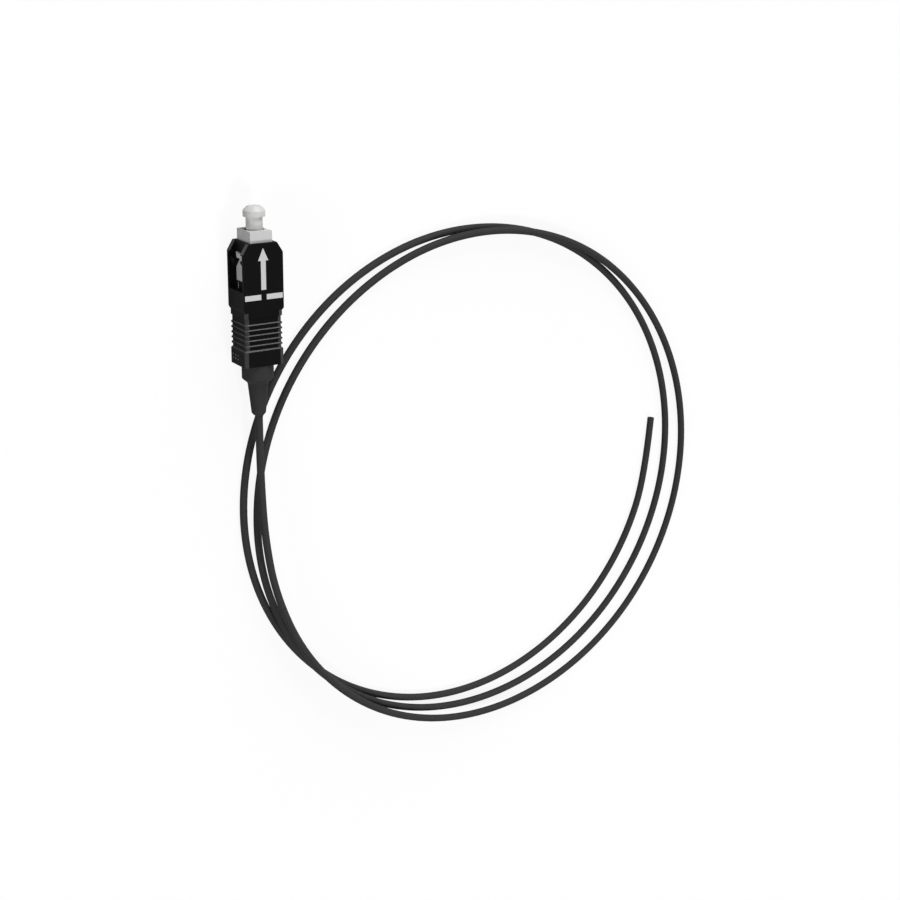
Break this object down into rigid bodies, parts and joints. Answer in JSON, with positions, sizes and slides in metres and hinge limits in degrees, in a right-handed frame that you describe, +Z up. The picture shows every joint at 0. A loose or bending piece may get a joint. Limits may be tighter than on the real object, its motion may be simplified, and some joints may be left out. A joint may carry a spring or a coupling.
{
  "type": "fiber pigtail",
  "caption": "Fiber optic pigtail: a square push-pull plug with its dust cap on, a short strain relief boot, and a thin cable in loose turns that ends in a bare cut end.",
  "frame": {"origin": "On the surface that the plug lies on, under the middle of the plug from the cap's top to the boot's tip", "axes": "+Y along the plug's axis towards the mating end, +Z up out of the plain wide face, +X to the right of that face, where the cable's loose turns lie"},
  "size_m": [0.1246, 0.1299, 0.0083],
  "materials": {
    "black_housing": "satin",
    "grey_frame": "satin",
    "white_cap": "satin",
    "black_boot": "matte",
    "black_jacket": "matte",
    "light_print": "printed ink",
    "ceramic": "polished",
    "steel": "machined",
    "crimp_metal": "plain",
    "yarn": "strands",
    "silica": "clear",
    "buffer": "smooth",
    "clear_tube": "smooth"
  },
  "bodies": {
    "plug": {"plug_frame": "grey_frame", "rear_body": "crimp_metal", "crimp_sleeve": "crimp_metal", "aramid_yarn": "yarn", "boot": "black_boot", "spring": "steel", "cable": "black_jacket"},
    "grip": {"outer_housing": "black_housing", "index_mark_left": "light_print", "index_mark_right": "light_print", "arrow_mark": "light_print"},
    "ferrule_unit": {"ferrule": "ceramic", "ferrule_flange": "steel", "optical_fibre": "silica", "buffered_fibre": "buffer", "guide_tube": "clear_tube"},
    "cap": {"dust_cap": "white_cap"}
  },
  "joints": [
    {"name": "housing_slide", "type": "slide", "parent": "plug", "child": "grip", "axis": [0, 1, 0], "range_m": [0, 0.0012]},
    {"name": "ferrule_slide", "type": "slide", "parent": "plug", "child": "ferrule_unit", "axis": [0, -1, 0], "range_m": [0, 0.001], "stiffness_N_per_m": 2000, "deforming": ["spring"]},
    {"name": "cap_pull", "type": "slide", "parent": "ferrule_unit", "child": "cap", "axis": [0, 1, 0], "range_m": [0, 0.012]}
  ]
}
